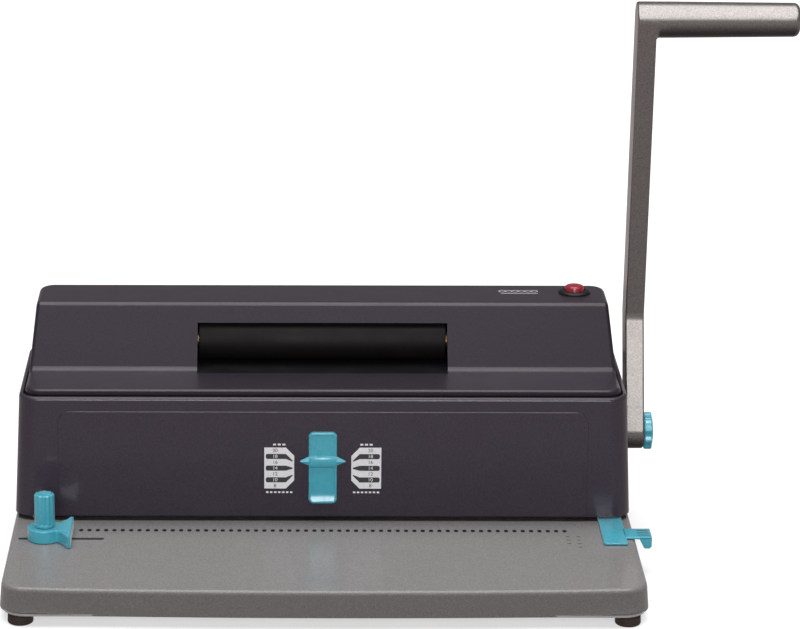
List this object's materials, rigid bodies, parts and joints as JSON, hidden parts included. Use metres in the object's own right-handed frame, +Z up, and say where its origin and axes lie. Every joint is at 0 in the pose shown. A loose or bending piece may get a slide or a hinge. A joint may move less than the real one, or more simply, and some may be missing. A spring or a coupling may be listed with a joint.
{
  "type": "coil binding machine",
  "caption": "Desktop manual punch with a long side lever, a flat paper bed, and a powered rubber roller that winds plastic coils.",
  "frame": {"origin": "on the table plane, under the middle of the bounding box of the machine with its lever", "axes": "+X to the operator's right along the lever's shaft, +Y to the rear, +Z up"},
  "size_m": [0.47, 0.23, 0.3323],
  "materials": {
    "housing_paint": "satin dark violet-grey paint on sheet steel",
    "base_paint": "finely speckled grey metallic paint",
    "lever_paint": "light grey metallic paint",
    "steel": "bright machined or plated steel",
    "bronze": "plain sintered bronze",
    "teal_plastic": "satin moulded plastic",
    "black_plastic": "moulded plastic",
    "red_plastic": "glossy moulded plastic",
    "rubber": "matte black rubber",
    "label_print": "pale print on a thin plastic label",
    "circuit_board": "green laminate"
  },
  "bodies": {
    "machine": {"base_pan": "base_paint", "base_plate": "steel", "foot_front_left": "rubber", "foot_front_right": "rubber", "foot_rear_left": "rubber", "foot_rear_right": "rubber", "base_screw_front_left": "steel", "base_screw_front_right": "steel", "base_screw_rear_left": "steel", "base_screw_rear_right": "steel", "housing": "housing_paint", "top_cover": "housing_paint", "rear_cover": "housing_paint", "rear_screw_1": "steel", "rear_screw_2": "steel", "rear_screw_3": "steel", "rear_screw_4": "steel", "power_inlet": "black_plastic", "side_frame_left": "steel", "side_frame_right": "steel", "shaft_bush_left": "bronze", "shaft_bush_right": "bronze", "die_plate": "steel", "stripper_plate": "steel", "tie_bar": "steel", "return_spring_left": "steel", "return_spring_right": "steel", "depth_track": "black_plastic", "scale_label_left": "label_print", "scale_label_right": "label_print", "switch_bezel": "black_plastic", "button_spring": "steel", "run_switch": "black_plastic", "roller_well": "black_plastic", "roller_bush_left": "bronze", "roller_bush_right": "bronze", "drive_belt": "rubber", "gear_motor": "steel", "motor_bracket": "steel", "power_board": "circuit_board"},
    "handle": {"handle_arm": "lever_paint", "handle_grip": "lever_paint", "drive_shaft": "steel", "pinion_left": "steel", "pinion_right": "steel"},
    "hub_knob": {"handle_knob": "teal_plastic"},
    "punch": {"punch_bar": "steel"},
    "depth_slide": {"depth_slider": "teal_plastic"},
    "paper_stop": {"depth_stop": "steel"},
    "guide": {"edge_guide": "teal_plastic", "edge_guide_nut": "steel"},
    "guide_knob": {"edge_guide_knob": "teal_plastic"},
    "pull_stop": {"side_stop": "teal_plastic"},
    "tray": {"chip_tray": "black_plastic"},
    "button": {"run_button": "red_plastic"},
    "roller": {"roller_sleeve": "rubber", "roller_shaft": "steel", "roller_pulley": "black_plastic"},
    "motor_drive": {"motor_pulley": "black_plastic"}
  },
  "joints": [
    {"name": "handle_swing", "type": "hinge", "parent": "machine", "child": "handle", "pos_m": [0.1415, 0.055, 0.0645], "axis": [1, 0, 0], "range_deg": [0, 70], "stiffness_Nm_per_rad": 2.5, "springref_deg": -17.19},
    {"name": "hub_knob_turn", "type": "hinge", "parent": "handle", "child": "hub_knob", "pos_m": [0.1535, 0.055, 0.0645], "axis": [1, 0, 0], "range_deg": [0, 360]},
    {"name": "punch_stroke", "type": "slide", "parent": "machine", "child": "punch", "axis": [0, 0, -1], "range_m": [0, 0.011], "deforming": ["return_spring_left", "return_spring_right"]},
    {"name": "depth_select", "type": "slide", "parent": "machine", "child": "depth_slide", "axis": [0, 0, 1], "range_m": [-0.008, 0.003]},
    {"name": "paper_stop_feed", "type": "slide", "parent": "machine", "child": "paper_stop", "axis": [0, 1, 0], "range_m": [-0.00075, 0.002]},
    {"name": "guide_slide", "type": "slide", "parent": "machine", "child": "guide", "axis": [1, 0, 0], "range_m": [-0.01, 0.033]},
    {"name": "guide_knob_turn", "type": "hinge", "parent": "guide", "child": "guide_knob", "pos_m": [-0.2132, -0.027, 0.03], "axis": [0, 0, 1], "range_deg": [0, 360]},
    {"name": "pull_stop_slide", "type": "slide", "parent": "machine", "child": "pull_stop", "axis": [1, 0, 0], "range_m": [0, 0.014]},
    {"name": "tray_slide", "type": "slide", "parent": "machine", "child": "tray", "axis": [0, 1, 0], "range_m": [0, 0.085]},
    {"name": "button_press", "type": "slide", "parent": "machine", "child": "button", "axis": [0, 0, -1], "range_m": [0, 0.003], "stiffness_N_per_m": 300, "springref_m": -0.002, "deforming": ["button_spring"]},
    {"name": "roller_spin", "type": "hinge", "parent": "machine", "child": "roller", "pos_m": [-0.0475, 0.074, 0.1172], "axis": [1, 0, 0], "continuous": true},
    {"name": "motor_spin", "type": "hinge", "parent": "machine", "child": "motor_drive", "pos_m": [0.0395, 0.088, 0.082], "axis": [1, 0, 0], "continuous": true}
  ],
  "couplings": [
    {"joint": "punch_stroke", "follows": "handle_swing", "m_per_rad": 0.009},
    {"joint": "paper_stop_feed", "follows": "depth_select", "ratio": -0.25},
    {"joint": "motor_spin", "follows": "roller_spin", "ratio": 1.2}
  ]
}
